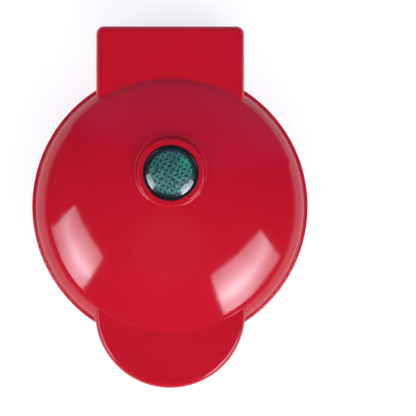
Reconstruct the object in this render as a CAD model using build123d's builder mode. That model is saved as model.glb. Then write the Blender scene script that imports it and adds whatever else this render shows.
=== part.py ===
from build123d import *

import os
from math import asin, cos, degrees, radians, sin, sqrt, tan

# A small round waffle maker: two clamshell housings on a rear hinge, each around a cast plate.
#
# Frame: +Z up, +Y towards the hinge, origin on the round body's axis at the level of the table.
# Both halves are drawn outwards from the plane where they meet, so "depth" below is the distance
# from that plane: upwards in the lid and downwards in the base. All sizes are in millimetres.

# --- driving dimensions -------------------------------------------------------------------------
PARTING = 36.0  # height of the plane where lid and base meet
RIM_GAP = 0.5  # each housing's rim stops this far from that plane
WALL = 2.2  # moulded housing wall
REAR_WALL = 2.0  # base wall beside the hinge
LID_REAR_WALL = 1.4
BODY_R = 63.5  # the round body over its rim
REACH = 83.5  # handle front, from the body's axis
TAB_REAR = 82.9  # lid tab rear, from the body's axis

# round body
RIM_H = 8.0  # depth of the rim's outer face
RIM_EDGE_R = 0.8
FLANK_FOOT_R = 62.2  # where the steep flank meets the rim
FLANK_SLOPE = 75.0  # degrees from horizontal
FLANK_HOLLOW_R = 0.5  # hollow between flank and rim
DOME_H = 32.0
DOME_R = 110.0  # the crown is part of a sphere
SHOULDER_R = 14.0  # the crown rolls over into the flank
BOWL_H = 28.0  # depth of the base's flat bottom
BOWL_CORNER_R = 11.0

# handle tongue and hinge tab
TONGUE_R = 34.5
TONGUE_H = 15.5
TONGUE_EDGE_R = 2.4
TAB_HALF_W = 34.0
TAB_H = 14.4
TAB_EDGE_R = 2.6
TAB_CORNER_R = 3.6
REAR_CORNER_R = 1.0  # inside the rear walls
JUNCTION_R = 0.6  # hollow where the tongue, tab and collar rise out of the round body

# rear block of the base, which stands on the rear feet
BLOCK_H = 34.2
BLOCK_REAR = 76.9
BLOCK_FRONT = 44.0
BLOCK_EDGE_R = 2.0
BLOCK_DUCT_H = 20.0  # above this depth the block is open into the bowl

# hinge
HINGE_Y = 77.9
PIN_R = 1.5
KNUCKLE_R = 3.2
LID_KNUCKLE = (19.3, 25.5)  # from and to, on each side of the middle
BASE_KNUCKLES = ((12.5, 18.9), (25.9, 31.2))
PIN_SPAN = (12.5, 31.0)
PIN_HEAD_R = 2.5
PIN_HEAD_W = 0.9
PIN_RUN = 0.05  # radial clearance in the lid's knuckles
PIN_SEAT = 0.01  # radial clearance in the base's knuckles
KNUCKLE_GAP = 0.5  # clearance of the base around the lid's knuckles
KNUCKLE_SIDE_GAP = 0.4

# inner frame
FIT = 0.2  # gap between the frame and the housing around it
FRAME_REAR = 71.8  # the frames stop short of the hinge
FRAME_BACK = 2.8
FRAME_SKIRT_R = 59.8  # a skirt under the rim stands on the housing's ledge
FRAME_BORE_R = 55.8
FRAME_WALL_R = 57.8
LIP_BORE_R = 53.3
LIP_FRONT = 2.4
LIP_BACK = 4.6

# cooking plate
PLATE_RIM_R = 55.6
PLATE_WALL_R = 53.0
PLATE_FACE = 0.2
CAVITY_R = 50.8  # a four-inch waffle
CAVITY_FLOOR_R = 49.6
FLOOR = 8.7
PLATE_BACK = 11.7
POST_TOP = 2.5
POST_PITCH = 17.2
POST_FOOT_W = 13.0
POST_DRAFT = 7.0  # degrees
POST_CORNER_R = 1.4
POST_TOP_CHAMFER = 0.5
POST_FIELD_R = 46.3  # the grid of posts is clipped to this circle
RIDGE_IN, RIDGE_OUT, RIDGE_BACK = 29.5, 38.5, 14.8
PLATE_BOSS_AT = 40.5
PLATE_BOSS_R = 2.8

# tubular heating element, cast side down in the ridge's groove
ELEMENT_R = 34.0
ELEMENT_TUBE_R = 3.0
ELEMENT_GROOVE = 0.05
ELEMENT_END = 60.0  # degrees: the ring is open at the rear between this angle and its mirror image
ELEMENT_BEND_R = 8.0
ELEMENT_STUB = 3.0
ELEMENT_PIN_R = 1.2
ELEMENT_PIN_L = 2.0
SPADE_W, SPADE_T, SPADE_L = 4.8, 0.8, 4.0

# heat shield behind each plate
SHIELD_T = 0.6
SHIELD_FLOOR = 18.0
SHIELD_FLOOR_R = 44.0
SHIELD_SHOULDER = (53.7, 12.1)
SHIELD_NECK_R = 54.8
SHIELD_FLANGE_R = 57.2
SHIELD_BEND_R = 1.2
SHIELD_HOLE_R = 9.0

# indicator lamp, set off the body's axis towards the hinge
LAMP_Y = 15.0
COLLAR_TOP = 32.8
COLLAR_R = 15.2
COLLAR_FLARE = 22.0  # degrees from vertical
COLLAR_SKIRT = 6.8
COLLAR_EDGE_R = 0.5
COLLAR_TUBE_R = 14.7
COLLAR_TUBE_END = 25.3
COLLAR_BORE_R = 12.9
COLLAR_LEDGE = 28.0
COLLAR_LEDGE_R = 10.8
BEZEL_R = 12.8
BEZEL_BORE_R = 11.7
BEZEL_TOP = 32.7
BEZEL_LEDGE = 29.4
BEZEL_LEDGE_R = 10.2
LENS_R = 11.6
LENS_EDGE = 32.1
LENS_CURVE_R = 24.0
LENS_T = 1.8
LAMP_BAR_L, LAMP_BAR_W, LAMP_BAR_T = 44.0, 8.0, 1.8
LAMP_BAR_FRONT = 20.6
LAMP_SCREW_X = 18.2
LAMP_SOCKET_R = 4.0
LAMP_SOCKET_END = 25.2
LAMP_R = 2.5
LAMP_END = 28.6

# feet, vents and screws
FOOT_R = 6.5
FOOT_H = 3.0
FOOT_POCKET = 1.2
FOOT_CLEAR = 0.1
FOOT_EDGE_R = 0.8
PILLAR_R = 8.0
FRONT_FOOT = (30.0, -30.0)
REAR_FOOT = (22.0, 66.0)
VENT_COUNT = 8
VENT_AT = 20.0
VENT_L, VENT_W = 14.0, 2.4
BOSS_R = 3.2
PILOT_R = 1.2
SCREW_R = 1.15
SCREW_CLEAR_R = 1.6
HEAD_R = 2.5
HEAD_H = 1.1
HEAD_POCKET_R = 2.8
FRAME_SCREW_L = 6.5
SHORT_SCREW_L = 5.0
CROSS_L, CROSS_W, CROSS_DEPTH = 2.8, 0.6, 0.6
TONGUE_SCREW = (20.0, -62.0)
TAB_SCREW = (27.0, 62.0)

# cord inlet in the base's rear wall
GLAND_DEPTH = 22.0
GLAND_BORE_R = 3.0
GLAND_BODY_R = 5.0
GLAND_FLANGE_R = 7.5
GLAND_FLANGE_T = 2.2
GLAND_LIP_R = 6.2
GLAND_LIP_T = 1.6
GLAND_CLEAR = 0.1

# thermostat on the lower plate, between two posts' screws
THERMOSTAT_R = 8.0
THERMOSTAT_CAP = 2.4
THERMOSTAT_BODY_R = 6.6
THERMOSTAT_BODY_END = 19.4
THERMOSTAT_EAR_W, THERMOSTAT_EAR_T = 7.0, 0.8
THERMOSTAT_BLADE_X, THERMOSTAT_BLADE_END = 3.6, 23.6

# mains terminal block in the rear block
TERMINAL_W, TERMINAL_L, TERMINAL_T = 26.0, 10.0, 9.0
TERMINAL_Y = 56.0
TERMINAL_PITCH = 8.0
TERMINAL_WAY_R = 2.0
TERMINAL_SCREW_R = 1.6
TERMINAL_SCREW_L = 2.2

# --- planes -------------------------------------------------------------------------------------
# Each half's plane lies where the halves meet and faces away from the other half. Its local y is
# the frame's +Y in both halves, and its local z is the depth.
LID = Plane(origin=(0, 0, PARTING), x_dir=(1, 0, 0), z_dir=(0, 0, 1))
BASE = Plane(origin=(0, 0, PARTING), x_dir=(-1, 0, 0), z_dir=(0, 0, -1))
LAMP_AXIS = Axis((0, LAMP_Y, 0), (0, 0, 1))


def inwards(half, depth):
    """The plane at this depth that faces the other half."""
    return Plane(origin=half.offset(depth).origin, x_dir=-half.x_dir, z_dir=-half.z_dir)


def section_plane(half, y=0.0):
    """The plane of a turned section: local x is the radius and local y is the depth."""
    return Plane(origin=(0, y, PARTING), x_dir=(1, 0, 0), z_dir=(0, -half.z_dir.Z, 0))


def mirrored(point):
    """A point and its mirror image on the other side of the object."""
    x, y = point
    return [(x, y), (-x, y)]


def finish(part, name):
    """Labels a finished piece and writes it."""
    part.label = name
    export_step(part, f"parts/{name}.step")


# --- the housings' outline, inset by any amount -------------------------------------------------
def flank_r(inset, depth):
    """Radius of the steep flank at a depth."""
    slope = radians(FLANK_SLOPE)
    return FLANK_FOOT_R - inset / sin(slope) - (depth - RIM_H) / tan(slope)


def shoulder(inset):
    """Radius and depth where the flank meets the crown."""
    slope = radians(FLANK_SLOPE)
    radius = DOME_R - inset
    foot = flank_r(inset, RIM_H)
    rise = RIM_H - (DOME_H - DOME_R)
    b = rise * sin(slope) - foot * cos(slope)
    run = sqrt(b * b - foot * foot - rise * rise + radius * radius) - b
    return foot - run * cos(slope), RIM_H + run * sin(slope)


def round_off(sketch, point, radius):
    """Rounds the sketch's corner nearest to a point of its own plane."""
    fillet(sketch.vertices().sort_by_distance(Vector(*point))[0], radius)


def dome(inset=0.0, mode=Mode.ADD):
    """Turns the lid's round body: crown, shoulder, flank and rim."""
    top, edge = shoulder(inset), DOME_H - DOME_R
    step = RIM_H - inset
    rim, foot = BODY_R - inset, flank_r(inset, step)
    with BuildSketch(section_plane(LID)) as section:
        with BuildLine():
            crown = CenterArc((0, edge), DOME_R - inset, 90, -degrees(asin(top[0] / (DOME_R - inset))))
            Polyline(crown @ 1, (foot, step), (rim, step), (rim, RIM_GAP), (0, RIM_GAP), crown @ 0)
        make_face()
        round_off(section, top, SHOULDER_R - inset)
        if inset == 0:
            round_off(section, (foot, step), FLANK_HOLLOW_R)
            round_off(section, (rim, step), RIM_EDGE_R)
    revolve(section.sketch, Axis.Z, mode=mode)


def bowl(inset=0.0, mode=Mode.ADD):
    """Turns the base's round body: the same rim and flank, and a flat bottom."""
    step, floor = RIM_H - inset, BOWL_H - inset
    rim, foot, corner = BODY_R - inset, flank_r(inset, step), flank_r(inset, floor)
    outline = [(0, RIM_GAP), (rim, RIM_GAP), (rim, step), (foot, step), (corner, floor), (0, floor)]
    with BuildSketch(section_plane(BASE)) as section:
        with BuildLine():
            Polyline(*outline, close=True)
        make_face()
        round_off(section, (corner, floor), BOWL_CORNER_R - inset)
        if inset == 0:
            round_off(section, (foot, step), FLANK_HOLLOW_R)
            round_off(section, (rim, step), RIM_EDGE_R)
    revolve(section.sketch, Axis.Z, mode=mode)


def tongue(half, near, far, inset=0.0, mode=Mode.ADD):
    """Extrudes the handle's tongue from one depth to another."""
    radius = TONGUE_R - inset
    with BuildSketch(half.offset(near)) as plan:
        with Locations((0, TONGUE_R - REACH)):
            Circle(radius)
            Rectangle(2 * radius, TONGUE_R, align=(Align.CENTER, Align.MIN))
    extrude(plan.sketch, amount=far - near, mode=mode)


def tab(half, near, far, rear, half_w, corner_r=0.0, front=20.0, mode=Mode.ADD):
    """Extrudes a rectangle at the rear from one depth to another."""
    with BuildSketch(half.offset(near)) as plan:
        with Locations((0, rear)):
            Rectangle(2 * half_w, rear - front, align=(Align.CENTER, Align.MAX))
        if corner_r > 0:
            fillet(plan.vertices().group_by(Axis.Y)[-1], corner_r)
    extrude(plan.sketch, amount=far - near, mode=mode)


def disc(half, near, far, radius, mode=Mode.ADD):
    """Extrudes a round disc on the body's axis from one depth to another."""
    with BuildSketch(half.offset(near)) as plan:
        Circle(radius)
    extrude(plan.sketch, amount=far - near, mode=mode)


def posts(half, points, near, far, radius, mode=Mode.ADD):
    """Extrudes a round post or hole at each point from one depth to another."""
    with BuildSketch(half.offset(near)) as plan:
        with Locations(*points):
            Circle(radius)
    extrude(plan.sketch, amount=far - near, mode=mode)


def hinge_span(span, radius, mode=Mode.ADD, web=None):
    """Cylinders on the hinge axis along a span on each side, with a web to the wall if given."""
    for start in (span[0], -span[1]):
        with BuildSketch(Plane.YZ.offset(start)) as section:
            with Locations((HINGE_Y, PARTING)):
                Circle(radius)
            if web:
                low, high = web
                with Locations(low):
                    Rectangle(high[0] - low[0], high[1] - low[1], align=(Align.MIN, Align.MIN))
        extrude(section.sketch, amount=span[1] - span[0], mode=mode)


def on_body(point):
    """Whether a point lies on the round body's shoulder or flank, above the flank's hollow."""
    radius, depth = Vector(point.X, point.Y).length, abs(point.Z - PARTING)
    hollow_top = RIM_H + FLANK_HOLLOW_R * tan(radians(FLANK_SLOPE / 2)) * sin(radians(FLANK_SLOPE))
    roll_r, roll_depth = shoulder(SHOULDER_R)  # centre of the shoulder's section
    to_shoulder = Vector(radius - roll_r, depth - roll_depth).length - SHOULDER_R
    to_flank = radius - flank_r(0, depth)
    return depth > hollow_top - 0.01 and min(abs(to_shoulder), abs(to_flank)) < 0.01


def is_junction(edge):
    """Whether the tongue or tab rises out of the round body along this edge."""
    points = [edge @ 0.0, edge @ 0.5, edge @ 1.0]
    depths = [abs(p.Z - PARTING) for p in points]
    level = max(depths) - min(depths) < 0.01
    own_circle = level and min(abs(depths[1] - TONGUE_H), abs(depths[1] - TAB_H)) > 0.01
    seam = max(abs(p.Y) for p in points) < 1
    return all(on_body(p) for p in points) and not own_circle and not seam


def outer_edges(half):
    """The edges around the deepest face of what was added last."""
    depth_axis = Axis(half.origin, half.z_dir)
    return faces(Select.LAST).sort_by(depth_axis)[-1].edges()


# --- screws -------------------------------------------------------------------------------------
def make_screws(plane, points, length, name):
    """Pan-head screws with a cross recess. Their heads stand on the plane, on its outer side."""
    with BuildPart() as screws:
        with BuildSketch(plane) as heads:
            with Locations(*points):
                Circle(HEAD_R)
        extrude(amount=HEAD_H)
        chamfer(faces().sort_by(Axis(plane.origin, plane.z_dir))[-len(points) :].edges(), 0.4)
        with BuildSketch(plane) as shanks:
            with Locations(*points):
                Circle(SCREW_R)
        extrude(amount=-length)
        chamfer(faces().sort_by(Axis(plane.origin, plane.z_dir))[: len(points)].edges(), 0.5)
        with BuildSketch(plane.offset(HEAD_H)) as crosses:
            with Locations(*points):
                Rectangle(CROSS_L, CROSS_W)
                Rectangle(CROSS_W, CROSS_L)
        extrude(amount=-CROSS_DEPTH, mode=Mode.SUBTRACT)
    finish(screws.part, name)


# --- pieces that both halves have ---------------------------------------------------------------
LEDGE = RIM_H - WALL  # depth of the ledge inside the rim
FRAME_SCREWS = mirrored(TONGUE_SCREW) + mirrored(TAB_SCREW)
BOSS_ANGLES = [90, 210, 330]
PLATE_BOSSES = [
    (PLATE_BOSS_AT * cos(radians(a)), PLATE_BOSS_AT * sin(radians(a))) for a in BOSS_ANGLES
]


def make_frame(half, name):
    """Flat inner frame: it closes the tongue and the tab, and its lip carries the plate's rim."""
    with BuildPart() as frame:
        disc(half, RIM_GAP, FRAME_BACK, BODY_R - WALL - FIT)
        tongue(half, RIM_GAP, FRAME_BACK, inset=WALL + FIT)
        tab(half, RIM_GAP, FRAME_BACK, FRAME_REAR, TAB_HALF_W - WALL - FIT)
        disc(half, FRAME_BACK, LEDGE, BODY_R - WALL - FIT)
        disc(half, FRAME_BACK, LEDGE, FRAME_SKIRT_R, Mode.SUBTRACT)
        disc(half, FRAME_BACK, LIP_BACK, FRAME_WALL_R)
        disc(half, RIM_GAP, LIP_FRONT, FRAME_BORE_R, Mode.SUBTRACT)
        disc(half, LIP_FRONT, LIP_BACK, LIP_BORE_R, Mode.SUBTRACT)
        posts(half, FRAME_SCREWS, RIM_GAP, FRAME_BACK, SCREW_CLEAR_R, Mode.SUBTRACT)
        posts(half, FRAME_SCREWS, RIM_GAP, RIM_GAP + HEAD_H + 0.1, HEAD_POCKET_R, Mode.SUBTRACT)
    finish(frame.part, name)
    head_seat = inwards(half, RIM_GAP + HEAD_H + 0.1)
    make_screws(head_seat, FRAME_SCREWS, FRAME_SCREW_L, name + "_screws")


def make_plate(half, name):
    """Cast waffle plate: rim, cavity, a grid of posts, and the element's ridge on its back."""
    with BuildPart() as post:
        with BuildSketch(inwards(half, FLOOR)):
            RectangleRounded(POST_FOOT_W, POST_FOOT_W, POST_CORNER_R)
        extrude(amount=FLOOR - POST_TOP, taper=POST_DRAFT)
        chamfer(faces().sort_by(Axis(half.origin, half.z_dir))[0].edges(), POST_TOP_CHAMFER)
    with BuildPart() as grid:
        with GridLocations(POST_PITCH, POST_PITCH, 6, 6):
            add(post.part)
        with BuildSketch(inwards(half, FLOOR)):
            Circle(POST_FIELD_R)
        extrude(amount=FLOOR - POST_TOP, taper=POST_DRAFT, mode=Mode.INTERSECT)
    outline = [
        (0, FLOOR),
        (CAVITY_FLOOR_R, FLOOR),
        (CAVITY_R, PLATE_FACE),
        (PLATE_RIM_R, PLATE_FACE),
        (PLATE_RIM_R, LIP_FRONT),
        (PLATE_WALL_R, LIP_FRONT),
        (PLATE_WALL_R, PLATE_BACK),
        (0, PLATE_BACK),
    ]
    with BuildPart() as plate:
        with BuildSketch(section_plane(half)) as section:
            with BuildLine():
                Polyline(*outline, close=True)
            make_face()
            round_off(section, outline[1], 1.2)
            round_off(section, outline[2], 0.6)
            round_off(section, outline[3], 0.4)
            round_off(section, outline[6], 1.5)
        revolve(axis=Axis.Z)
        add(grid.part)
        with BuildSketch(half.offset(PLATE_BACK)):
            Circle(RIDGE_OUT)
            Circle(RIDGE_IN, mode=Mode.SUBTRACT)
            with Locations((0, ELEMENT_R)):
                Rectangle(2 * ELEMENT_R * cos(radians(ELEMENT_END)) + 8, 30, mode=Mode.SUBTRACT)
        extrude(amount=RIDGE_BACK - PLATE_BACK)
        posts(half, PLATE_BOSSES, PLATE_BACK, SHIELD_FLOOR, PLATE_BOSS_R)
        posts(half, PLATE_BOSSES, SHIELD_FLOOR - SHORT_SCREW_L, SHIELD_FLOOR, PILOT_R, Mode.SUBTRACT)
        with Locations(half.offset(RIDGE_BACK)):
            Torus(ELEMENT_R, ELEMENT_TUBE_R + ELEMENT_GROOVE, mode=Mode.SUBTRACT)
        if half is BASE:
            pilot_end = PLATE_BACK - SHORT_SCREW_L
            posts(half, THERMOSTAT_SCREWS, pilot_end, PLATE_BACK, PILOT_R, Mode.SUBTRACT)
    finish(plate.part, name)


def make_element(half, name):
    """Tubular element: an open ring whose ends turn to the rear and carry spade terminals."""
    end = radians(ELEMENT_END)
    bend_at = ELEMENT_R + ELEMENT_BEND_R
    bend_centre = (bend_at * cos(end), bend_at * sin(end))
    stub_x = bend_centre[0] - ELEMENT_BEND_R
    stub_end = bend_centre[1] + ELEMENT_STUB
    with BuildPart() as element:
        with BuildLine(half.offset(RIDGE_BACK)) as path:
            CenterArc((0, 0), ELEMENT_R, -90, 90 + ELEMENT_END)
            CenterArc(bend_centre, ELEMENT_BEND_R, 180 + ELEMENT_END, -ELEMENT_END)
            Line((stub_x, bend_centre[1]), (stub_x, stub_end))
        with BuildSketch(Plane(origin=path.wire() @ 0, z_dir=path.wire() % 0)):
            Circle(ELEMENT_TUBE_R)
        sweep(path=path.wire())
        side = half.x_dir.X * stub_x
        depth = half.offset(RIDGE_BACK).origin.Z
        with Locations((side, stub_end + ELEMENT_PIN_L / 2, depth)):
            Cylinder(ELEMENT_PIN_R, ELEMENT_PIN_L, rotation=(90, 0, 0))
        with Locations((side, stub_end + ELEMENT_PIN_L + SPADE_L / 2, depth)):
            Box(SPADE_W, SPADE_L, SPADE_T)
        mirror(about=Plane.YZ)
    finish(element.part, name)


def make_shield(half, name):
    """Pressed heat shield: bolted to the plate, it clamps the frame's lip between them."""
    middle = SHIELD_FLOOR + SHIELD_T / 2
    flange = LIP_BACK + SHIELD_T / 2
    bends = [(SHIELD_HOLE_R, middle), (SHIELD_FLOOR_R, middle), SHIELD_SHOULDER]
    bends += [(SHIELD_NECK_R, flange), (SHIELD_FLANGE_R, flange)]
    with BuildPart() as shield:
        with BuildSketch(section_plane(half)):
            with BuildLine():
                FilletPolyline(*bends, radius=SHIELD_BEND_R)
            trace(line_width=SHIELD_T)
        revolve(axis=Axis.Z)
        posts(half, PLATE_BOSSES, SHIELD_FLOOR - 1, SHIELD_FLOOR + 2, SCREW_CLEAR_R, Mode.SUBTRACT)
    finish(shield.part, name)
    head_seat = half.offset(SHIELD_FLOOR + SHIELD_T)
    # on the base's own plane x runs the other way, and the three bosses are symmetric
    make_screws(head_seat, PLATE_BOSSES, SHORT_SCREW_L, name + "_screws")


os.makedirs("parts", exist_ok=True)
thermostat_at = POST_PITCH / 2
THERMOSTAT_SCREWS = [(thermostat_at, thermostat_at), (-thermostat_at, -thermostat_at)]

make_frame(LID, "lid_frame")
make_frame(BASE, "base_frame")
make_plate(LID, "upper_plate")
make_plate(BASE, "lower_plate")
make_element(LID, "upper_heating_element")
make_element(BASE, "lower_heating_element")
make_shield(LID, "upper_heat_shield")
make_shield(BASE, "lower_heat_shield")

# --- lid housing --------------------------------------------------------------------------------
LAMP_SCREWS = [(LAMP_SCREW_X, LAMP_Y), (-LAMP_SCREW_X, LAMP_Y)]
with BuildPart() as lid_shell:
    tongue(LID, RIM_GAP, TONGUE_H)
    fillet(outer_edges(LID), TONGUE_EDGE_R)
    tab(LID, RIM_GAP, TAB_H, TAB_REAR, TAB_HALF_W, TAB_CORNER_R)
    fillet(outer_edges(LID), TAB_EDGE_R)
    dome()
    with BuildSketch(section_plane(LID, LAMP_Y)) as collar:
        flare = COLLAR_SKIRT * tan(radians(COLLAR_FLARE))
        foot = COLLAR_TOP - COLLAR_SKIRT
        with BuildLine():
            Polyline(
                (0, foot), (COLLAR_R + flare, foot), (COLLAR_R, COLLAR_TOP), (0, COLLAR_TOP), close=True
            )
        make_face()
        round_off(collar, (COLLAR_R, COLLAR_TOP), COLLAR_EDGE_R)
    revolve(axis=LAMP_AXIS)
    fillet(edges().filter_by(is_junction), JUNCTION_R)
    blends = edges().filter_by(GeomType.BSPLINE)
    fillet(blends.filter_by_position(Axis.Z, PARTING + foot, PARTING + COLLAR_TOP), JUNCTION_R)
    dome(WALL, Mode.SUBTRACT)
    tongue(LID, RIM_GAP, TONGUE_H - WALL, WALL, Mode.SUBTRACT)
    tab(
        LID,
        RIM_GAP,
        TAB_H - WALL,
        TAB_REAR - LID_REAR_WALL,
        TAB_HALF_W - WALL,
        REAR_CORNER_R,
        mode=Mode.SUBTRACT,
    )
    # lamp seat
    posts(LID, [(0, LAMP_Y)], COLLAR_TUBE_END, COLLAR_TOP - 1, COLLAR_TUBE_R)
    posts(LID, [(0, LAMP_Y)], COLLAR_TUBE_END - 1, COLLAR_LEDGE, COLLAR_LEDGE_R, Mode.SUBTRACT)
    posts(LID, [(0, LAMP_Y)], COLLAR_LEDGE, COLLAR_TOP + 1, COLLAR_BORE_R, Mode.SUBTRACT)
    # screw bosses
    posts(LID, LAMP_SCREWS, LAMP_BAR_FRONT + LAMP_BAR_T, DOME_H - WALL - 1, BOSS_R)
    posts(LID, mirrored(TONGUE_SCREW), FRAME_BACK, TONGUE_H - 1, BOSS_R)
    posts(LID, mirrored(TAB_SCREW), FRAME_BACK, TAB_H - 1, BOSS_R)
    pilot_end = LAMP_BAR_FRONT + SHORT_SCREW_L + 0.5
    posts(LID, LAMP_SCREWS, LAMP_BAR_FRONT, pilot_end, PILOT_R, Mode.SUBTRACT)
    posts(LID, mirrored(TONGUE_SCREW), FRAME_BACK, TONGUE_H - WALL, PILOT_R, Mode.SUBTRACT)
    posts(LID, mirrored(TAB_SCREW), FRAME_BACK, TAB_H - WALL, PILOT_R, Mode.SUBTRACT)
    # hinge knuckles, each on a web between the tab's roof and rear wall
    web_low = (HINGE_Y - KNUCKLE_R, PARTING + RIM_GAP)
    web_high = (TAB_REAR - LID_REAR_WALL / 2, PARTING + TAB_H - WALL / 2)
    hinge_span(LID_KNUCKLE, KNUCKLE_R, web=(web_low, web_high))
    hinge_span(LID_KNUCKLE, PIN_R + PIN_RUN, Mode.SUBTRACT)
finish(lid_shell.part, "lid_shell")

# --- indicator: bezel ring, domed lens, and the lamp on its bar ----------------------------------
with BuildPart() as indicator_bezel:
    ring = [
        (BEZEL_BORE_R, BEZEL_TOP),
        (BEZEL_R, BEZEL_TOP),
        (BEZEL_R, COLLAR_LEDGE),
        (BEZEL_LEDGE_R, COLLAR_LEDGE),
        (BEZEL_LEDGE_R, BEZEL_LEDGE),
        (BEZEL_BORE_R, BEZEL_LEDGE),
    ]
    with BuildSketch(section_plane(LID, LAMP_Y)) as bezel_section:
        with BuildLine():
            Polyline(*ring, close=True)
        make_face()
        round_off(bezel_section, ring[0], 0.4)
        round_off(bezel_section, ring[1], 0.3)
    revolve(axis=LAMP_AXIS)
finish(indicator_bezel.part, "indicator_bezel")

with BuildPart() as indicator_lens:
    lens_centre = LENS_EDGE - sqrt(LENS_CURVE_R**2 - LENS_R**2)
    spread = degrees(asin(LENS_R / LENS_CURVE_R))
    inner_curve_r = LENS_CURVE_R - LENS_T
    skirt_r = LENS_R - LENS_T
    inner_spread = degrees(asin(skirt_r / inner_curve_r))
    with BuildSketch(section_plane(LID, LAMP_Y)) as lens_section:
        with BuildLine():
            outside = CenterArc((0, lens_centre), LENS_CURVE_R, 90, -spread)
            inside = CenterArc((0, lens_centre), inner_curve_r, 90, -inner_spread)
            Polyline(outside @ 1, (LENS_R, BEZEL_LEDGE), (skirt_r, BEZEL_LEDGE), inside @ 1)
            Line(outside @ 0, inside @ 0)
        make_face()
        round_off(lens_section, (LENS_R, LENS_EDGE), 0.5)
    revolve(axis=LAMP_AXIS)
finish(indicator_lens.part, "indicator_lens")

with BuildPart() as lamp_holder:
    with BuildSketch(LID.offset(LAMP_BAR_FRONT)):
        with Locations((0, LAMP_Y)):
            SlotOverall(LAMP_BAR_L, LAMP_BAR_W)
    extrude(amount=LAMP_BAR_T)
    posts(LID, [(0, LAMP_Y)], LAMP_BAR_FRONT, LAMP_SOCKET_END, LAMP_SOCKET_R)
    posts(LID, [(0, LAMP_Y)], LAMP_BAR_FRONT + LAMP_BAR_T, LAMP_SOCKET_END, LAMP_R, Mode.SUBTRACT)
    posts(LID, LAMP_SCREWS, LAMP_BAR_FRONT, LAMP_SOCKET_END, SCREW_CLEAR_R, Mode.SUBTRACT)
    lead_holes = [(-1.2, LAMP_Y), (1.2, LAMP_Y)]
    posts(LID, lead_holes, LAMP_BAR_FRONT, LAMP_SOCKET_END, 0.6, Mode.SUBTRACT)
finish(lamp_holder.part, "lamp_holder")
lamp_head_seat = inwards(LID, LAMP_BAR_FRONT)
make_screws(lamp_head_seat, LAMP_SCREWS, SHORT_SCREW_L, "lamp_holder_screws")

with BuildPart() as indicator_lamp:
    posts(LID, [(0, LAMP_Y)], LAMP_BAR_FRONT + LAMP_BAR_T, LAMP_END, LAMP_R)
    fillet(faces().sort_by(Axis.Z)[-1].edges(), LAMP_R - 0.4)
finish(indicator_lamp.part, "indicator_lamp")

# --- base housing -------------------------------------------------------------------------------
FOOT_FACE = PARTING - (FOOT_H - FOOT_POCKET)  # depth of the faces that the rubber feet sit in
FEET = mirrored(FRONT_FOOT) + mirrored(REAR_FOOT)
with BuildPart() as base_shell:
    tongue(BASE, RIM_GAP, TONGUE_H)
    fillet(outer_edges(BASE), TONGUE_EDGE_R)
    tab(BASE, RIM_GAP, BLOCK_H, BLOCK_REAR, TAB_HALF_W, TAB_CORNER_R, front=BLOCK_FRONT)
    fillet(outer_edges(BASE), BLOCK_EDGE_R)
    bowl()
    fillet(edges().filter_by(is_junction).filter_by_position(Axis.Y, -REACH, 0), JUNCTION_R)
    posts(BASE, mirrored(FRONT_FOOT), BLOCK_DUCT_H, BLOCK_H, PILLAR_R)
    fillet(outer_edges(BASE), 0.6)
    bowl(WALL, Mode.SUBTRACT)
    tongue(BASE, RIM_GAP, TONGUE_H - WALL, WALL, Mode.SUBTRACT)
    inner_rear, inner_half_w = BLOCK_REAR - REAR_WALL, TAB_HALF_W - WALL
    tab(BASE, RIM_GAP, BLOCK_DUCT_H, inner_rear, inner_half_w, REAR_CORNER_R, mode=Mode.SUBTRACT)
    tab(
        BASE,
        RIM_GAP,
        BLOCK_H - WALL,
        inner_rear,
        inner_half_w,
        REAR_CORNER_R,
        front=BLOCK_FRONT + WALL,
        mode=Mode.SUBTRACT,
    )
    pocket = FOOT_FACE - FOOT_POCKET
    posts(BASE, mirrored(FRONT_FOOT), BOWL_H - WALL, pocket - WALL, PILLAR_R - WALL, Mode.SUBTRACT)
    posts(BASE, FEET, pocket, FOOT_FACE, FOOT_R + FOOT_CLEAR, Mode.SUBTRACT)
    # screw bosses
    posts(BASE, mirrored(TONGUE_SCREW), FRAME_BACK, TONGUE_H - 1, BOSS_R)
    posts(BASE, mirrored(TAB_SCREW), FRAME_BACK, BLOCK_H - WALL, BOSS_R)
    posts(BASE, FRAME_SCREWS, FRAME_BACK, TONGUE_H - WALL, PILOT_R, Mode.SUBTRACT)
    # vents in the bowl's floor
    with BuildSketch(BASE.offset(BOWL_H)):
        with PolarLocations(VENT_AT, VENT_COUNT):
            SlotOverall(VENT_L, VENT_W)
    extrude(amount=-WALL, mode=Mode.SUBTRACT)
    # cord inlet
    with BuildSketch(Plane.XZ.offset(-BLOCK_REAR)) as inlet:
        with Locations((0, PARTING - GLAND_DEPTH)):
            Circle(GLAND_BODY_R + GLAND_CLEAR)
    extrude(amount=REAR_WALL + 1, mode=Mode.SUBTRACT)
    # hinge: notches around the lid's knuckles, then the base's own knuckles
    notch = (LID_KNUCKLE[0] - KNUCKLE_SIDE_GAP, LID_KNUCKLE[1] + KNUCKLE_SIDE_GAP)
    hinge_span(notch, KNUCKLE_R + KNUCKLE_GAP, Mode.SUBTRACT)
    hinge_span((0, PIN_SPAN[0]), KNUCKLE_R + KNUCKLE_GAP, Mode.SUBTRACT)
    web_low = (inner_rear, PARTING - KNUCKLE_R)
    web_high = (HINGE_Y, PARTING - RIM_GAP)
    for span in BASE_KNUCKLES:
        hinge_span(span, KNUCKLE_R, web=(web_low, web_high))
        hinge_span(span, PIN_R + PIN_SEAT, Mode.SUBTRACT)
finish(base_shell.part, "base_shell")

with BuildPart() as rubber_feet:
    posts(BASE, FEET, FOOT_FACE - FOOT_POCKET, PARTING, FOOT_R)
    fillet(faces().sort_by(Axis.Z)[:4].edges(), FOOT_EDGE_R)
finish(rubber_feet.part, "rubber_feet")

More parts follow.
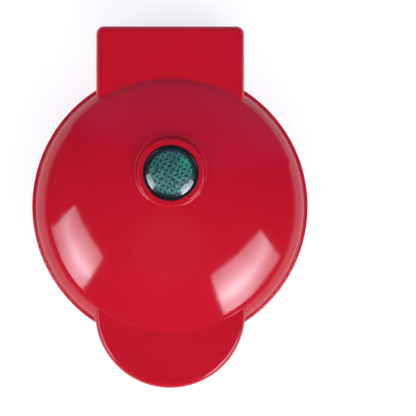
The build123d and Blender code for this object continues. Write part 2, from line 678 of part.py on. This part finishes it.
with BuildPart() as hinge_pins:
    hinge_span(PIN_SPAN, PIN_R)
    head = (PIN_SPAN[0] - PIN_HEAD_W, PIN_SPAN[0])
    hinge_span(head, PIN_HEAD_R)
    chamfer(faces().sort_by(Axis.X)[-1].edges() + faces().sort_by(Axis.X)[0].edges(), 0.3)
finish(hinge_pins.part, "hinge_pins")

# --- cord inlet gland ---------------------------------------------------------------------------
INLET = Plane(origin=(0, BLOCK_REAR, PARTING - GLAND_DEPTH), x_dir=(1, 0, 0), z_dir=(0, 1, 0))
with BuildPart() as cord_gland:
    with BuildSketch(INLET):
        Circle(GLAND_FLANGE_R)
    extrude(amount=GLAND_FLANGE_T)
    fillet(faces().sort_by(Axis.Y)[-1].edges(), 1.0)
    with BuildSketch(INLET):
        Circle(GLAND_BODY_R)
    extrude(amount=-REAR_WALL)
    with BuildSketch(INLET.offset(-REAR_WALL)):
        Circle(GLAND_LIP_R)
    extrude(amount=-GLAND_LIP_T)
    chamfer(faces().sort_by(Axis.Y)[0].edges(), 0.8)
    with BuildSketch(INLET.offset(GLAND_FLANGE_T)):
        Circle(GLAND_BORE_R)
    extrude(amount=-(GLAND_FLANGE_T + REAR_WALL + GLAND_LIP_T), mode=Mode.SUBTRACT)
finish(cord_gland.part, "cord_gland")

# --- thermostat ---------------------------------------------------------------------------------
with BuildPart() as thermostat:
    with BuildSketch(BASE.offset(PLATE_BACK)):
        SlotOverall(2 * thermostat_at * sqrt(2) + THERMOSTAT_EAR_W, THERMOSTAT_EAR_W, rotation=45)
    extrude(amount=THERMOSTAT_EAR_T)
    disc(BASE, PLATE_BACK, PLATE_BACK + THERMOSTAT_CAP, THERMOSTAT_R)
    disc(BASE, PLATE_BACK + THERMOSTAT_CAP, THERMOSTAT_BODY_END, THERMOSTAT_BODY_R)
    with BuildSketch(BASE.offset(THERMOSTAT_BODY_END)):
        with Locations((THERMOSTAT_BLADE_X, 0), (-THERMOSTAT_BLADE_X, 0)):
            Rectangle(SPADE_T, SPADE_W)
    extrude(amount=THERMOSTAT_BLADE_END - THERMOSTAT_BODY_END)
    ear_back = PLATE_BACK + THERMOSTAT_EAR_T
    posts(BASE, THERMOSTAT_SCREWS, PLATE_BACK, ear_back, SCREW_CLEAR_R, Mode.SUBTRACT)
finish(thermostat.part, "thermostat")
make_screws(BASE.offset(ear_back), THERMOSTAT_SCREWS, SHORT_SCREW_L, "thermostat_screws")

# --- mains terminal block -----------------------------------------------------------------------
block_floor = BASE.offset(BLOCK_H - WALL)
ways = [(x, TERMINAL_Y) for x in (-TERMINAL_PITCH, 0, TERMINAL_PITCH)]
with BuildPart() as terminal_block:
    with BuildSketch(block_floor):
        with Locations((0, TERMINAL_Y)):
            Rectangle(TERMINAL_W, TERMINAL_L)
    extrude(amount=-TERMINAL_T)
    fillet(edges().filter_by(Axis.Z), 1.0)
    with BuildSketch(Plane.XZ.offset(-TERMINAL_Y - TERMINAL_L / 2)):
        with Locations(*[(x, block_floor.origin.Z + TERMINAL_T / 2) for x, _ in ways]):
            Circle(TERMINAL_WAY_R)
    extrude(amount=TERMINAL_L, mode=Mode.SUBTRACT)
    top = block_floor.offset(-TERMINAL_T)
    with BuildSketch(top):
        with Locations(*ways):
            Circle(TERMINAL_SCREW_R)
    extrude(amount=TERMINAL_T / 2, mode=Mode.SUBTRACT)
finish(terminal_block.part, "terminal_block")
with BuildPart() as terminal_screws:
    with BuildSketch(top.offset(0.3)):
        with Locations(*ways):
            Circle(TERMINAL_SCREW_R - 0.02)
    extrude(amount=TERMINAL_SCREW_L)
    with BuildSketch(top.offset(0.3)):
        with Locations(*ways):
            Rectangle(2 * TERMINAL_SCREW_R, 0.6)
    extrude(amount=0.6, mode=Mode.SUBTRACT)
finish(terminal_screws.part, "terminal_screws")
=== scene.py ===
import math

import bpy
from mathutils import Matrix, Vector


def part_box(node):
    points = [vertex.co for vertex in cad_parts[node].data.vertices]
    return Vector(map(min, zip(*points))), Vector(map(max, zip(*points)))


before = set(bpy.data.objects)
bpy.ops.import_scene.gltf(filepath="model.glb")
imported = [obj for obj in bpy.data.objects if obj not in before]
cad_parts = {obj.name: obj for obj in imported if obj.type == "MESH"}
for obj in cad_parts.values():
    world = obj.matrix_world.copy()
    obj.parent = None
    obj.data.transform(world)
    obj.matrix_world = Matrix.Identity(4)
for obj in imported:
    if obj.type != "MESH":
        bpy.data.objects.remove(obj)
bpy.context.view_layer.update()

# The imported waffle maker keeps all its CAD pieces. They get their materials here, and the scene gets
# its camera, floor and studio light. Lengths are in metres, and colours are linear.
MM = 0.001

# --- camera ---------------------------------------------------------------------------------------
# Nearly straight above the round body. The middle of the view is a little to the body's right.
AIM = Vector((0.01756, -0.00066, 0.041))
CAMERA_LEAN = (-0.0205, -0.0147)  # sideways run of the line of sight, in x and y, for each unit of height
CAMERA_RISE = 2.959
CAMERA_LENS = 555.4  # mm, as the sensor's width is
CAMERA_SENSOR = 36.0
CAMERA_REACH = 50.0

camera_data = bpy.data.cameras.new("camera")
camera_data.sensor_width = CAMERA_SENSOR
camera_data.lens = CAMERA_LENS
camera_data.clip_end = CAMERA_REACH
camera = bpy.data.objects.new("camera", camera_data)
camera.location = AIM + Vector((*CAMERA_LEAN, 1.0)) * CAMERA_RISE
camera.rotation_euler = (-math.atan(CAMERA_LEAN[1]), math.atan(CAMERA_LEAN[0]), 0)
bpy.context.scene.collection.objects.link(camera)
bpy.context.scene.camera = camera
bpy.context.scene.view_settings.view_transform = "Standard"


# --- node helpers ---------------------------------------------------------------------------------
NOISE_RANGE = (0.3, 0.7)  # where most of a noise's values lie


class Shader:
    """The node tree of a material or world, with short calls for the nodes used below."""

    def __init__(self, owner, output="OutputMaterial"):
        owner.use_nodes = True
        self.owner = owner
        self.tree = owner.node_tree
        self.tree.nodes.clear()
        self.output = self.node(output)
        self.coordinates = None

    def node(self, kind, inputs=(), **settings):
        """Adds a node; inputs maps a socket's name or index to a value or to another socket."""
        made = self.tree.nodes.new("ShaderNode" + kind)
        for key, value in settings.items():
            setattr(made, key, value)
        for key, value in dict(inputs).items():
            if isinstance(value, bpy.types.NodeSocket):
                self.tree.links.new(value, made.inputs[key])
            else:
                made.inputs[key].default_value = value
        return made

    def place(self):
        """Object coordinates, which are the CAD's own."""
        if self.coordinates is None:
            self.coordinates = self.node("TexCoord").outputs["Object"]
        return self.coordinates

    def noise(self, size, detail=3.0, roughness=0.5):
        """Noise from 0 to 1 with features of this size."""
        inputs = {"Vector": self.place(), "Scale": 1 / size, "Detail": detail, "Roughness": roughness}
        return self.node("TexNoise", inputs).outputs[0]

    def ramp(self, value, low, high, to_low=0.0, to_high=1.0):
        """Maps low..high to to_low..to_high, clamped."""
        inputs = {0: value, 1: low, 2: high, 3: to_low, 4: to_high}
        return self.node("MapRange", inputs).outputs[0]

    def uneven(self, noise, rough):
        """Roughness that follows a noise from the first value of rough to the second."""
        return self.ramp(noise, *NOISE_RANGE, *rough)

    def math(self, operation, *values):
        return self.node("Math", dict(enumerate(values)), operation=operation).outputs[0]

    def length(self, x, y):
        """Length of a vector in the plane."""
        squares = [self.math("MULTIPLY", part, part) for part in (x, y)]
        return self.math("SQRT", self.math("ADD", *squares))

    def mix(self, share, one, other):
        """Mixes two colours."""
        made = self.node("Mix", {"Factor": share}, data_type="RGBA")
        for socket, value in ((made.inputs[6], one), (made.inputs[7], other)):
            if isinstance(value, bpy.types.NodeSocket):
                self.tree.links.new(value, socket)
            else:
                socket.default_value = (*value, 1)
        return made.outputs[2]

    def bump(self, height, depth, strength):
        inputs = {"Height": height, "Distance": depth, "Strength": strength}
        return self.node("Bump", inputs).outputs[0]

    def end(self, surface):
        """Ends the tree with a shader node, and gives back the material or world."""
        self.tree.links.new(surface.outputs[0], self.output.inputs[0])
        return self.owner

    def finish(self, inputs):
        """Ends the tree with a Principled shader."""
        return self.end(self.node("BsdfPrincipled", inputs))


def new_shader(name):
    return Shader(bpy.data.materials.new(name))


# --- materials ------------------------------------------------------------------------------------
def red_plastic():
    """Glossy moulded plastic with a faint orange peel."""
    s = new_shader("red_plastic")
    patches = s.ramp(s.noise(30 * MM), *NOISE_RANGE)
    shade = s.mix(patches, (0.51, 0.0048, 0.018), (0.54, 0.0056, 0.021))
    rough = s.uneven(s.noise(4 * MM, detail=4.0), rough=(0.06, 0.10))
    peel = s.bump(s.noise(2.2 * MM, detail=2.0), depth=0.01 * MM, strength=0.35)
    return s.finish({"Base Color": shade, "Roughness": rough, "Normal": peel, "IOR": 1.5})


def black_moulding(name, colour, lighter, rough, grain, depth):
    """Dark plastic or rubber with a fine moulded grain."""
    s = new_shader(name)
    shade = s.mix(s.ramp(s.noise(12 * MM), *NOISE_RANGE), colour, lighter)
    texture = s.noise(grain, detail=4.0, roughness=0.6)
    skin = s.bump(texture, depth, strength=0.6)
    return s.finish({"Base Color": shade, "Roughness": s.uneven(texture, rough), "Normal": skin})


def plate_coating():
    """Non-stick coating with fine paler flecks."""
    s = new_shader("plate_coating")
    flecks = s.ramp(s.noise(0.6 * MM, detail=2.0), 0.62, 0.7)
    shade = s.mix(flecks, (0.028, 0.028, 0.030), (0.075, 0.075, 0.078))
    rough = s.uneven(s.noise(3 * MM, detail=4.0), rough=(0.34, 0.50))
    skin = s.bump(s.noise(0.9 * MM, roughness=0.6), depth=0.03 * MM, strength=0.5)
    return s.finish({"Base Color": shade, "Roughness": rough, "Normal": skin, "Metallic": 0.25})


def metal(name, colour, stained, rough, grain):
    """Bare or plated metal with faint stains."""
    s = new_shader(name)
    stains = s.ramp(s.noise(6 * MM, detail=4.0), 0.35, 0.7)
    texture = s.noise(grain, roughness=0.6)
    skin = s.bump(texture, depth=0.01 * MM, strength=0.5)
    inputs = {"Base Color": s.mix(stains, colour, stained), "Roughness": s.uneven(texture, rough)}
    return s.finish({**inputs, "Normal": skin, "Metallic": 1.0})


def lamp_glass():
    s = new_shader("lamp_glass")
    rough = s.uneven(s.noise(1 * MM), rough=(0.02, 0.08))
    inputs = {"Base Color": (0.9, 1.0, 0.95, 1), "Roughness": rough, "Transmission Weight": 0.9}
    return s.finish({**inputs, "IOR": 1.46})


def ceramic():
    s = new_shader("ceramic")
    patches = s.ramp(s.noise(1.5 * MM, detail=4.0), 0.4, 0.75)
    shade = s.mix(patches, (0.80, 0.78, 0.72), (0.70, 0.67, 0.60))
    rough = s.uneven(s.noise(0.8 * MM), rough=(0.42, 0.6))
    skin = s.bump(s.noise(0.5 * MM), depth=0.02 * MM, strength=0.5)
    return s.finish({"Base Color": shade, "Roughness": rough, "Normal": skin})


LENS_PITCH = 2.27 * MM  # of the prisms moulded into the lens
LENS_TURN = math.radians(30)
LENS_DOT = (0.17, 0.27)  # radius of a dot's black middle and of its soft edge, in pitches
LENS_DOT_SHARE = 0.96  # how far the middle of a dot covers the prisms
LENS_BORDER = (2.0 * MM, 1.3 * MM)  # inwards from the rim, where the dark border begins and is full
LENS_FACET_SHARE = 0.55  # of whole facets in the painted sparkle; finer painted glints are the rest
LENS_GLOW_AT = (0.0063, 0.0044, 0.0685)  # from the lens's axis in plan, and from the floor in height
LENS_GLOW = (1.0 * MM, 4.2 * MM)  # radius of the glow's full middle and of its end
LENS_GLOW_SHARE = 0.85


def prism_lens(centre, rim):
    """Dark teal plastic over a square lattice of small prisms, with black at their corners."""
    s = new_shader("prism_lens")
    shift = {"Vector": s.place(), "Location": (-centre[0], -centre[1], 0)}
    moved = s.node("Mapping", shift, vector_type="POINT").outputs[0]
    turn = {"Vector": moved, "Rotation": (0, 0, LENS_TURN)}
    turned = s.node("Mapping", turn, vector_type="POINT").outputs[0]

    # black dots at the corners of the lattice
    lattice = s.node("SeparateXYZ", {0: turned}).outputs
    steps = [s.math("DIVIDE", lattice[axis], LENS_PITCH) for axis in ("X", "Y")]
    corner = s.length(*(s.math("SUBTRACT", step, s.math("ROUND", step)) for step in steps))
    dots = s.ramp(corner, *LENS_DOT, 1.0, 0.0)

    # a plain dark border
    flat = s.node("SeparateXYZ", {0: moved}).outputs
    border = s.ramp(s.length(flat["X"], flat["Y"]), *(rim - inwards for inwards in LENS_BORDER))

    # each prism has four facets, which catch the light differently; this is painted into the colour as
    # highlights of uneven strength, and the same values also drive the bump
    numbers = [s.math("FLOOR", s.math("MULTIPLY", step, 2.0)) for step in steps]
    facet = s.node("CombineXYZ", {0: numbers[0], 1: numbers[1]}).outputs[0]
    catch = s.node("TexWhiteNoise", {"Vector": facet}, noise_dimensions="2D").outputs["Value"]
    glints = s.ramp(s.noise(0.8 * MM, detail=2.0), 0.35, 0.65)
    facets = s.math("MULTIPLY", catch, LENS_FACET_SHARE)
    sparkle = s.math("ADD", facets, s.math("MULTIPLY", glints, 1 - LENS_FACET_SHARE))
    # painted highlight: the sparkle lightens the dark teal
    body = s.mix(sparkle, (0.005, 0.036, 0.032), (0.060, 0.26, 0.215))

    # painted glow: the green light that passes through towards the rear right edge is painted into the
    # colour
    away = s.node("VectorMath", {0: moved, 1: LENS_GLOW_AT}, operation="DISTANCE").outputs["Value"]
    glow = s.ramp(away, *LENS_GLOW, LENS_GLOW_SHARE, 0.0)
    lit = s.mix(glow, body, (0.004, 0.36, 0.19))

    dotted = s.mix(s.math("MULTIPLY", dots, LENS_DOT_SHARE), lit, (0.001, 0.004, 0.004))
    shade = s.mix(border, dotted, (0.002, 0.014, 0.015))
    skin = s.bump(sparkle, depth=0.2 * MM, strength=0.6)
    inputs = {"Base Color": shade, "Roughness": 0.3, "Coat Weight": 1.0, "Coat Roughness": 0.04}
    return s.finish({**inputs, "IOR": 1.5, "Normal": skin})


lens_low, lens_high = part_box("indicator_lens")
lens_centre = (lens_low + lens_high) / 2
lens_rim = (lens_high.x - lens_low.x) / 2

# colour, lighter patches, roughness from and to, size of the grain, its depth
MOULDINGS = {
    "frame_black": ((0.022, 0.022, 0.024), (0.032, 0.032, 0.034), (0.45, 0.6), 0.7 * MM, 0.03 * MM),
    "trim_black": ((0.006, 0.007, 0.008), (0.010, 0.012, 0.013), (0.16, 0.26), 0.9 * MM, 0.008 * MM),
    "rubber": ((0.018, 0.018, 0.018), (0.03, 0.03, 0.03), (0.62, 0.8), 0.5 * MM, 0.04 * MM),
    "phenolic": ((0.05, 0.035, 0.025), (0.08, 0.055, 0.04), (0.35, 0.5), 0.6 * MM, 0.03 * MM),
}

# colour, stains, roughness from and to, size of the grain
METALS = {
    "sheath": ((0.40, 0.38, 0.34), (0.26, 0.22, 0.18), (0.38, 0.55), 1.2 * MM),
    "sheet": ((0.72, 0.72, 0.73), (0.62, 0.62, 0.63), (0.24, 0.38), 1.2 * MM),
    "zinc": ((0.62, 0.62, 0.60), (0.52, 0.52, 0.48), (0.26, 0.4), 0.5 * MM),
    "steel": ((0.56, 0.56, 0.57), (0.46, 0.46, 0.47), (0.22, 0.34), 0.5 * MM),
    "brass": ((0.72, 0.50, 0.20), (0.60, 0.40, 0.15), (0.25, 0.4), 0.5 * MM),
}

materials = {
    "red_plastic": red_plastic(),
    "plate_coating": plate_coating(),
    "lamp_glass": lamp_glass(),
    "ceramic": ceramic(),
    "prism_lens": prism_lens(lens_centre, lens_rim),
    **{name: black_moulding(name, *values) for name, values in MOULDINGS.items()},
    **{name: metal(name, *values) for name, values in METALS.items()},
}

FINISHES = {
    "red_plastic": ["lid_shell", "base_shell"],
    "frame_black": ["lid_frame", "base_frame", "lamp_holder"],
    "trim_black": ["indicator_bezel"],
    "prism_lens": ["indicator_lens"],
    "lamp_glass": ["indicator_lamp"],
    "plate_coating": ["upper_plate", "lower_plate"],
    "sheath": ["upper_heating_element", "lower_heating_element"],
    "sheet": ["upper_heat_shield", "lower_heat_shield"],
    "zinc": [
        "lid_frame_screws",
        "base_frame_screws",
        "upper_heat_shield_screws",
        "lower_heat_shield_screws",
        "lamp_holder_screws",
        "thermostat_screws",
    ],
    "phenolic": ["thermostat"],
    "ceramic": ["terminal_block"],
    "brass": ["terminal_screws"],
    "steel": ["hinge_pins"],
    "rubber": ["cord_gland", "rubber_feet"],
}
for finish, nodes in FINISHES.items():
    for node in nodes:
        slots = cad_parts[node].data.materials
        slots.clear()
        slots.append(materials[finish])


# --- light panels ---------------------------------------------------------------------------------
def direction(azimuth, zenith):
    """Unit vector at an angle from +X in plan, and from straight up."""
    a, z = math.radians(azimuth), math.radians(zenith)
    return Vector((math.sin(z) * math.cos(a), math.sin(z) * math.sin(a), math.cos(z)))


def interpolate(points, x):
    """Straight-line interpolation in a list of (x, y)."""
    for (x0, y0), (x1, y1) in zip(points, points[1:]):
        if x <= x1:
            return y0 + (y1 - y0) * max(0.0, (x - x0) / (x1 - x0))
    return points[-1][1]


def glowing(name, colour, strength):
    """Emission scaled by the mesh's glow attribute."""
    s = new_shader(name)
    glow = s.node("Attribute", attribute_name="glow").outputs["Fac"]
    level = s.math("MULTIPLY", glow, strength)
    return s.end(s.node("Emission", {"Color": (*colour, 1), "Strength": level}))


PANEL_STEPS = 24
PANEL_AT = 2.5  # from the object


def panel(name, corners, colour, strength, across, along):
    """A light panel between four directions (azimuth, zenith); across and along shape its glow.

    The corners run first along one side and then back along the other: across is a list of
    (zenith, share) and along a list of (share of the way from the first side, share)."""
    near_low, near_high, far_high, far_low = (direction(*corner) for corner in corners)
    points, glow, faces = [], [], []
    for i in range(PANEL_STEPS + 1):
        t = i / PANEL_STEPS
        for j in range(PANEL_STEPS + 1):
            u = j / PANEL_STEPS
            p = near_low.lerp(near_high, u).lerp(far_low.lerp(far_high, u), t)
            zenith = math.degrees(math.acos(p.normalized().z))
            points.append(p * PANEL_AT)
            glow.append(interpolate(across, zenith) * interpolate(along, t))
    row = PANEL_STEPS + 1
    for i in range(PANEL_STEPS):
        for j in range(PANEL_STEPS):
            k = i * row + j
            faces.append((k, k + 1, k + row + 1, k + row))
    mesh = bpy.data.meshes.new(name)
    mesh.from_pydata(points, [], faces)
    mesh.attributes.new("glow", "FLOAT", "POINT").data.foreach_set("value", glow)
    mesh.materials.append(glowing(name, colour, strength))
    made = bpy.data.objects.new(name, mesh)
    made.visible_camera = False
    bpy.context.scene.collection.objects.link(made)


SOFTBOX = {
    "colour": (0.9, 1.0, 1.12),
    "across": [
        (40, 0.26), (44, 0.40), (48, 0.62), (51, 0.92), (52.5, 1.0), (54, 0.85), (57, 0.55), (61, 0.4),
    ],
    "along": [(0.0, 0.5), (0.3, 0.62), (0.6, 0.95), (0.8, 1.0), (1.0, 0.8)],
}
panel(
    "softbox_left",
    corners=[(178.4, 46.9), (189.5, 58.2), (224.0, 61.0), (217.0, 40.5)],
    strength=14.0,
    **SOFTBOX,
)
panel(
    "softbox_right",
    corners=[(-13.7, 46.8), (-23.5, 59.8), (-62.4, 61.0), (-58.4, 39.4)],
    strength=16.5,
    **SOFTBOX,
)
panel(
    "backdrop_rear",
    corners=[(20, 47), (20, 90), (140, 90), (140, 47)],
    colour=(0.6, 0.48, 1.0),
    strength=0.55,
    across=[(46, 0.5), (60, 0.9), (90, 1.0)],
    along=[(0.0, 0.2), (0.2, 1.0), (0.8, 1.0), (1.0, 0.2)],
)
panel(
    "panel_right_rear",
    corners=[(28, 28), (32, 43), (98, 43), (95, 28)],
    colour=(0.8, 0.6, 1.0),
    strength=0.36,
    across=[(28, 0.6), (36, 1.0), (43, 0.8)],
    along=[(0.0, 0.7), (0.3, 1.0), (0.8, 0.8), (1.0, 0.3)],
)

# --- fill light and surroundings ------------------------------------------------------------------
FILL_TOWARDS = direction(azimuth=270, zenith=20)
FILL_SIZE = 1.6
FILL_WATTS = 30.0
fill_data = bpy.data.lights.new("fill", "AREA")
fill_data.shape = "DISK"
fill_data.size = FILL_SIZE
fill_data.energy = FILL_WATTS
fill = bpy.data.objects.new("fill", fill_data)
fill.location = FILL_TOWARDS * PANEL_AT
fill.rotation_euler = FILL_TOWARDS.to_track_quat("Z", "Y").to_euler()
fill.visible_glossy = False
bpy.context.scene.collection.objects.link(fill)

# sine of the elevation, level
SKY = [(0.0, 1.3), (0.07, 0.95), (0.21, 0.22), (0.34, 0.04), (0.5, 0.0), (1.0, 0.0)]
SKY_FRONT = (-0.97, -0.86, 0.0, 1.1)  # y from and to, level from and to
SKY_LIFT = 0.07
SKY_COLOUR = (1.0, 1.0, 1.15, 1)


def studio_sky():
    """Dark overhead, white at the horizon, and dark again towards the front."""
    s = Shader(bpy.data.worlds.new("studio"), "OutputWorld")
    axes = s.node("SeparateXYZ", {0: s.node("TexCoord").outputs["Generated"]}).outputs
    height = s.node("ValToRGB", {0: axes["Z"]})
    stops = height.color_ramp.elements
    for sine, _ in SKY[1:-1]:
        stops.new(sine)
    for stop, (sine, share) in zip(stops, SKY):
        stop.position = sine
        stop.color = (share, share, share, 1)
    level = s.math("MULTIPLY", height.outputs[0], s.ramp(axes["Y"], *SKY_FRONT))
    lifted = s.math("ADD", level, SKY_LIFT)
    bpy.context.scene.world = s.end(s.node("Background", {"Color": SKY_COLOUR, "Strength": lifted}))


studio_sky()

# --- floor ----------------------------------------------------------------------------------------
FLOOR_HALF = 6.0
FLOOR_GREY = (0.30, 0.30, 0.30, 1)
FLOOR_GLOW = (1.0, 1.02, 1.06, 1)  # it keeps the floor pale where the panels don't reach
FLOOR_GLOW_STRENGTH = 0.78
floor_mesh = bpy.data.meshes.new("floor")
corners = [(-1, -1), (1, -1), (1, 1), (-1, 1)]
floor_mesh.from_pydata([(x * FLOOR_HALF, y * FLOOR_HALF, 0) for x, y in corners], [], [(0, 1, 2, 3)])
floor = bpy.data.objects.new("floor", floor_mesh)
bpy.context.scene.collection.objects.link(floor)
paper = new_shader("paper")
matte = paper.node("BsdfDiffuse", {"Color": FLOOR_GREY})
lit = paper.node("Emission", {"Color": FLOOR_GLOW, "Strength": FLOOR_GLOW_STRENGTH})
both = paper.node("AddShader", {0: matte.outputs[0], 1: lit.outputs[0]})
floor_mesh.materials.append(paper.end(both))
